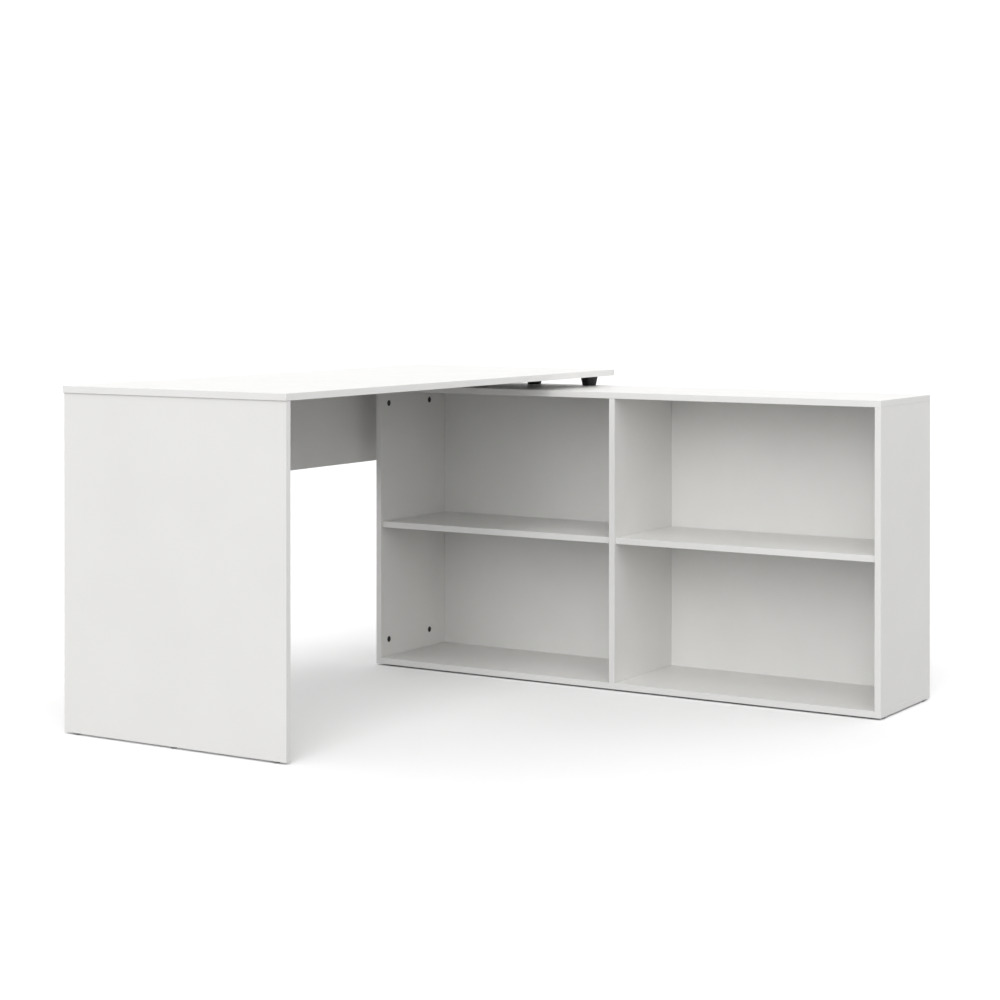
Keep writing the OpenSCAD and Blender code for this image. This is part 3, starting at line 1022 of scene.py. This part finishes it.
def double_bolt_shape(length, board):
    """A double-ended bolt along z, centred, with a plain sleeve through the divider."""
    sleeve, sleeve_r, chamfer = board / 2, 4 * MM, 0.3 * MM
    upper = [
        (sleeve - chamfer, sleeve_r),
        (sleeve, sleeve_r - chamfer),
        (sleeve, BOLT_SHANK_RADIUS),
        *bolt_head(length / 2),
    ]
    lower = [(-height, radius) for height, radius in reversed(upper)]
    return turned(lower + upper, sides=32)


def dowel_shape(length, flutes):
    """A fluted dowel along z, centred, with chamfered ends."""
    half, radius, chamfer, depth = length / 2, 4 * MM, 1 * MM, 0.35 * MM
    rings = [
        (-half, 0),
        (-half, radius - chamfer),
        (-half + chamfer, radius, depth),
        (half - chamfer, radius, depth),
        (half, radius - chamfer),
        (half, 0),
    ]
    return turned(rings, sides=6 * flutes, flutes=flutes)


def spacer_shape(height, foot_r, top_r, bore_r):
    """A tapered spacer on z 0, wide end up: a lip above, a recess below, and a bore."""
    soft, lip = 0.5 * MM, 1.2 * MM
    recess, wall = 1.0 * MM, 3.0 * MM
    boss_r, break_edge, lip_step = bore_r + 2.5 * MM, 0.2 * MM, 0.3 * MM
    rings = [(recess, bore_r), (break_edge, bore_r), (0, bore_r + break_edge), (0, boss_r)]
    rings += [(recess, boss_r), (recess, foot_r - wall), (0, foot_r - wall)]
    rings += arc_rings(soft, foot_r - soft, soft, -90, 0)
    rings += [(height - lip, top_r - lip_step)]
    rings += arc_rings(height - soft, top_r - soft, soft, 0, 90)
    rings += [(height, bore_r + break_edge), (height - break_edge, bore_r)]
    return ring_round(rings, sides=96)


def screw_shape(head_r, head_t, length, thread_r, pitch):
    """A pan-head screw along z: head below z 0 with a hex socket, thread above."""
    dome = [
        (-head_t + 0.5 * head_t * (1 - math.cos(a)), head_r * (0.72 + 0.28 * math.sin(a)))
        for a in (math.radians(d) for d in (0, 25, 50, 75, 90))
    ]
    rings = [(-head_t, 0), *dome, (0, head_r), (0, thread_r)]
    thread_depth, point, point_taper = 0.6 * MM, 1.2 * MM, 1.0 * MM
    rings += threaded_rings(MM, length - point, thread_r, thread_depth, pitch, steps=5)
    rings += [(length, thread_r - point_taper), (length, 0)]
    body = turned(rings, sides=28, thread=1.0, pitch=pitch)
    socket_r, socket_depth = 1.75 * MM, 2.2 * MM
    socket = rod(-head_t - MM, -head_t + socket_depth, socket_r, sides=6)
    return cut(body, [socket], "spacer_screw")


def insert_shape(length, radius, bore_r, pitch):
    """A threaded insert on z 0: coarse thread outside, bore through."""
    thread_depth, end = 0.8 * MM, 0.4 * MM
    rings = [(0, 0), (0, radius - thread_depth)]
    rings += threaded_rings(end, length - end, radius, thread_depth, pitch)
    rings += [(length, radius - thread_depth), (length, 0)]
    body = turned(rings, sides=40, thread=1.0, pitch=pitch)
    bore = rod(-MM, length + MM, bore_r, sides=40)
    return cut(body, [bore], "spacer_insert")


def glide_shape(height, radius, pin_r):
    """A nail-on glide on z 0: a rounded sole, a flat back and a blind pin hole."""
    soft, break_edge = 1.0 * MM, 0.2 * MM
    rings = [(0, 0)]
    rings += arc_rings(soft, radius - soft, soft, -90, 0, steps=5)
    rings += [(height - break_edge, radius), (height, radius - break_edge)]
    rings += [(height, pin_r), (height / 2, pin_r), (height / 2, 0)]
    return turned(rings, sides=48)


# ---- operators ----


class DESK_OT_desk_boards(bpy.types.Operator):
    """Builds the desktop, the panel leg and the modesty panel"""

    bl_idname = "desk.desk_boards"
    bl_label = "Desk boards"

    def execute(self, context):
        build_boards(context, DESK_BOARDS)
        return {"FINISHED"}


class DESK_OT_bookcase_boards(bpy.types.Operator):
    """Builds the bookcase's top, bottom, sides, divider and shelves"""

    bl_idname = "desk.bookcase_boards"
    bl_label = "Bookcase boards"

    def execute(self, context):
        build_boards(context, BOOKCASE_BOARDS)
        return {"FINISHED"}


def build_boards(context, boards):
    settings = context.scene.desk_boards
    radii = (settings.edging_rounding, settings.seam_rounding)
    for node, (across, edged, outer) in boards.items():
        mesh = board_mesh(node, across, edged, outer, settings, radii)
        add_piece(
            node + "_board",
            mesh,
            [node],
            "white_board",
            "white_melamine",
            "white_edging",
            "edging_joint",
            "board_core",
        )


class DESK_OT_back_panels(bpy.types.Operator):
    """Builds the two lacquered hardboard backs"""

    bl_idname = "desk.back_panels"
    bl_label = "Back panels"

    def execute(self, context):
        settings = context.scene.desk_boards
        for node in BACK_PANELS:
            mesh = board_mesh(
                node,
                "y",
                ("x-", "x+", "z-", "z+"),
                None,
                settings,
                (settings.hardboard_rounding,),
            )
            for face in mesh.polygons:
                face.material_index = 0
            add_piece(node + "_board", mesh, [node], "white_back", "white_hardboard")
        return {"FINISHED"}


class DESK_OT_spacers(bpy.types.Operator):
    """Builds the tapered black spacers between bookcase and desktop"""

    bl_idname = "desk.spacers"
    bl_label = "Spacers"

    def execute(self, context):
        for node in SPACERS:
            low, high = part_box(node)
            middle = (low + high) / 2
            points = [v.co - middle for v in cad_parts[node].data.vertices]
            sole_z = low.z - middle.z
            sole_r = max(p.xy.length for p in points if abs(p.z - sole_z) < PLANE_TOLERANCE)
            bore_r = min(p.xy.length for p in points)
            shape = spacer_shape(
                high.z - low.z, sole_r + SPACER_CHAMFER, (high.x - low.x) / 2, bore_r
            )
            place = stand(Vector((middle.x, middle.y, low.z)), unit(2))
            mesh = copies(shape, [place], node)
            add_piece(node + "_moulding", mesh, [node], "black_plastic", "black_spacer_plastic")
        return {"FINISHED"}


class DESK_OT_spacer_fixings(bpy.types.Operator):
    """Builds the screws through the spacers and their inserts in the desktop"""

    bl_idname = "desk.spacer_fixings"
    bl_label = "Spacer screws and inserts"

    def execute(self, context):
        settings = context.scene.desk_fittings
        screws = spans_of("spacer_screws")
        head_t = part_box("case_top")[0].z - screws[0].low.z
        shape = screw_shape(
            screws[0].size.x / 2,
            head_t,
            screws[0].size.z - head_t,
            SCREW_RADIUS,
            settings.screw_pitch,
        )
        mesh = copies(shape, [standing(s, head_t) for s in screws], "spacer_screws")
        add_piece("spacer_pan_screws", mesh, ["spacer_screws"], "zinc_steel", "zinc_plated_steel")
        inserts = spans_of("spacer_inserts")
        shape = insert_shape(
            inserts[0].size.z, inserts[0].size.x / 2, INSERT_BORE_RADIUS, settings.insert_pitch
        )
        mesh = copies(shape, [standing(s) for s in inserts], "spacer_inserts")
        add_piece("spacer_thread_inserts", mesh, ["spacer_inserts"], "insert_brass", "turned_brass")
        return {"FINISHED"}


class DESK_OT_cam_locks(bpy.types.Operator):
    """Builds the round cam locks that show in the boards' inner faces"""

    bl_idname = "desk.cam_locks"
    bl_label = "Cam locks"

    def execute(self, context):
        bolts = [bolt for node in (*CAM_BOLTS, DOUBLE_BOLTS) for bolt in spans_of(node)]
        for node, board in CAM_LOCKS.items():
            cam = spans_of(node)[0]
            board_low, board_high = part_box(board)
            thickness = board_high[cam.shortest] - board_low[cam.shortest]
            shape = cam_lock_shape(
                cam.size[cam.longest] / 2, cam.size[cam.shortest], thickness / 2
            )
            mesh = copies(shape, cam_places(node, board, bolts), node)
            add_piece(node + "_zinc", mesh, [node], "cam_zinc", "die_cast_zinc")
        return {"FINISHED"}


class DESK_OT_cam_bolts(bpy.types.Operator):
    """Builds the bolts that the cam locks pull on"""

    bl_idname = "desk.cam_bolts"
    bl_label = "Cam bolts"

    def execute(self, context):
        pitch = context.scene.desk_fittings.bolt_pitch
        for node in CAM_BOLTS:
            by_length = {}
            for span in spans_of(node):
                length = round(span.size[span.longest] / MM, 1)
                by_length.setdefault(length, []).append(span)
            shape = bmesh.new()
            for length, alike in sorted(by_length.items()):
                places = []
                for span in alike:
                    i = span.longest
                    thread_end = span.widest_end()
                    seat = span.middle + unit(i, thread_end * (span.size[i] / 2 - BOLT_BITE))
                    places.append(stand(seat, unit(i, -thread_end)))
                part = copies(cam_bolt_shape(length * MM, pitch), places, node)
                shape.from_mesh(part)
                bpy.data.meshes.remove(part)
            mesh = mesh_from(shape, node)
            add_piece(node + "_steel", mesh, [node], "zinc_steel", "zinc_plated_steel")
        spans = spans_of(DOUBLE_BOLTS)
        low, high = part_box("divider")
        shape = double_bolt_shape(spans[0].size.x, high.x - low.x)
        mesh = copies(shape, [stand(s.middle, unit(0)) for s in spans], DOUBLE_BOLTS)
        add_piece(DOUBLE_BOLTS + "_steel", mesh, [DOUBLE_BOLTS], "zinc_steel", "zinc_plated_steel")
        return {"FINISHED"}


class DESK_OT_dowels(bpy.types.Operator):
    """Builds the fluted beech dowels"""

    bl_idname = "desk.dowels"
    bl_label = "Dowels"

    def execute(self, context):
        flutes = context.scene.desk_fittings.dowel_flutes
        for node in DOWELS:
            spans = spans_of(node)
            length = spans[0].size[spans[0].longest]
            places = [stand(s.middle, unit(s.longest)) for s in spans]
            mesh = copies(dowel_shape(length, flutes), places, node)
            add_piece(node + "_beech", mesh, [node], "beech", "beech_wood")
        return {"FINISHED"}


class DESK_OT_glides(bpy.types.Operator):
    """Builds the nail-on glides under the leg and the bookcase"""

    bl_idname = "desk.glides"
    bl_label = "Glides"

    def execute(self, context):
        for node in GLIDES:
            spans = spans_of(node)
            shape = glide_shape(spans[0].size.z, spans[0].size.x / 2, GLIDE_PIN_RADIUS)
            mesh = copies(shape, [standing(s) for s in spans], node)
            add_piece(node + "_pads", mesh, [node], "glide_plastic", "moulded_glide_plastic")
        return {"FINISHED"}


class DESK_OT_plain_steel(bpy.types.Operator):
    """Finishes the glides' nails and the back panels' nails"""

    bl_idname = "desk.plain_steel"
    bl_label = "Nails"

    def execute(self, context):
        for node in PLAIN_STEEL:
            dress_node(node, "zinc_plated_steel", NAIL_ROUNDING)
        return {"FINISHED"}


class DESK_OT_stage(bpy.types.Operator):
    """Sets up the pale floor, the soft studio light and the camera"""

    bl_idname = "desk.stage"
    bl_label = "Studio"

    def execute(self, context):
        settings = context.scene.desk_stage
        build_floor(context, settings)
        build_lights(context, settings)
        build_camera(context, settings)
        return {"FINISHED"}


def build_floor(context, settings):
    shape = bmesh.new()
    bmesh.ops.create_grid(shape, x_segments=1, y_segments=1, size=settings.floor_width / 2)
    mesh = bpy.data.meshes.new("studio_floor")
    shape.to_mesh(mesh)
    shape.free()
    material, tree, shader = start_material("studio_floor_pale")
    cloud = noise(tree, own_coordinates(tree), 0.4)
    white = settings.floor_white
    seen = ramp(tree, cloud, tint(white, 0.99), tint(white, 1.0))
    colour = add_node(tree, "ShaderNodeMix", data_type="RGBA")
    to_camera = add_node(tree, "ShaderNodeLightPath").outputs["Is Camera Ray"]
    tree.links.new(to_camera, colour.inputs[0])
    colour.inputs[MIX_COLOUR_A].default_value = (*settings.floor_bounce, 1)
    tree.links.new(seen, colour.inputs[MIX_COLOUR_B])
    wire(tree, shader, colour.outputs[MIX_COLOUR_RESULT])
    shader.inputs["Roughness"].default_value = 0.9
    shader.inputs["Specular IOR Level"].default_value = 0.0
    mesh.materials.append(material)
    floor = bpy.data.objects.new("studio_floor", mesh)
    context.scene.collection.objects.link(floor)


def build_dome(context, settings):
    """A white dome whose brightness changes with the height above the floor."""
    world = bpy.data.worlds.new("studio_dome")
    world.use_nodes = True
    tree = world.node_tree
    sky = tree.nodes["Background"]
    direction = add_node(tree, "ShaderNodeTexCoord").outputs["Generated"]
    upward = add_node(tree, "ShaderNodeSeparateXYZ", {0: direction})
    steps = add_node(tree, "ShaderNodeValToRGB", {"Fac": upward.outputs["Z"]})
    bands = (
        (0.0, settings.dome_low),
        (12.0, settings.dome_middle),
        (35.0, settings.dome_high),
        (60.0, settings.dome_top),
    )
    brightest = max(level for _, level in bands)
    stops = steps.color_ramp
    stops.interpolation = "CONSTANT"
    while len(stops.elements) < len(bands):
        stops.elements.new(1.0)
    for stop, (elevation, level) in zip(stops.elements, bands):
        grey = level / brightest
        stop.position = math.sin(math.radians(elevation))
        stop.color = (grey, grey, grey, 1)
    tree.links.new(steps.outputs["Color"], sky.inputs["Color"])
    sky.inputs["Strength"].default_value = brightest
    context.scene.world = world


def build_softbox(context, name, strength, elevation, heading):
    """A distant soft light; a heading of 0 is from the right and -90 from the front."""
    light = bpy.data.lights.new(name, "SUN")
    light.energy = strength
    light.angle = math.radians(30)
    lamp = bpy.data.objects.new(name, light)
    flat = math.cos(math.radians(elevation))
    turn = math.radians(heading)
    towards = Vector(
        (flat * math.cos(turn), flat * math.sin(turn), math.sin(math.radians(elevation)))
    )
    lamp.matrix_world = stand(3 * towards, towards)
    context.scene.collection.objects.link(lamp)


def build_lights(context, settings):
    build_dome(context, settings)
    build_softbox(context, "key_light", settings.key_strength, elevation=62, heading=-60)
    build_softbox(context, "fill_light", settings.fill_strength, elevation=38, heading=-75)
    build_softbox(context, "low_light", settings.low_strength, elevation=14, heading=-75)


def build_camera(context, settings):
    lens = bpy.data.cameras.new("studio_camera")
    lens.sensor_width = 36
    lens.lens = settings.camera_lens
    lens.shift_x, lens.shift_y = settings.camera_shift
    camera = bpy.data.objects.new("studio_camera", lens)
    camera.location = settings.camera_place
    camera.rotation_euler = (math.pi / 2 - settings.camera_dip, 0, settings.camera_turn)
    context.scene.collection.objects.link(camera)
    context.scene.camera = camera
    context.scene.view_settings.view_transform = "Standard"


class DESK_PT_corner_desk(bpy.types.Panel):
    bl_idname = "DESK_PT_corner_desk"
    bl_label = "Corner Desk"
    bl_space_type = "VIEW_3D"
    bl_region_type = "UI"
    bl_category = "Corner Desk"

    def draw(self, context):
        for title, group in (
            ("Boards", context.scene.desk_boards),
            ("Fittings", context.scene.desk_fittings),
            ("Studio", context.scene.desk_stage),
        ):
            box = self.layout.box()
            box.label(text=title)
            for name in group.__annotations__:
                box.prop(group, name)
        for operator in OPERATORS:
            self.layout.operator(operator.bl_idname)


OPERATORS = (
    DESK_OT_desk_boards,
    DESK_OT_bookcase_boards,
    DESK_OT_back_panels,
    DESK_OT_spacers,
    DESK_OT_spacer_fixings,
    DESK_OT_cam_locks,
    DESK_OT_cam_bolts,
    DESK_OT_dowels,
    DESK_OT_glides,
    DESK_OT_plain_steel,
    DESK_OT_stage,
)
GROUPS = {
    "desk_boards": DeskBoardSettings,
    "desk_fittings": DeskFittingSettings,
    "desk_stage": DeskStageSettings,
}


def register():
    for group in GROUPS.values():
        bpy.utils.register_class(group)
    for name, group in GROUPS.items():
        setattr(bpy.types.Scene, name, PointerProperty(type=group))
    for operator in OPERATORS:
        bpy.utils.register_class(operator)
    bpy.utils.register_class(DESK_PT_corner_desk)


def unregister():
    bpy.utils.unregister_class(DESK_PT_corner_desk)
    for operator in reversed(OPERATORS):
        bpy.utils.unregister_class(operator)
    for name in GROUPS:
        delattr(bpy.types.Scene, name)
    for group in GROUPS.values():
        bpy.utils.unregister_class(group)


def main():
    register()
    bpy.ops.desk.desk_boards()
    bpy.ops.desk.bookcase_boards()
    bpy.ops.desk.back_panels()
    bpy.ops.desk.spacers()
    bpy.ops.desk.spacer_fixings()
    bpy.ops.desk.cam_locks()
    bpy.ops.desk.cam_bolts()
    bpy.ops.desk.dowels()
    bpy.ops.desk.glides()
    bpy.ops.desk.plain_steel()
    bpy.ops.desk.stage()
    bpy.context.view_layer.update()


if __name__ == "__main__":
    main()
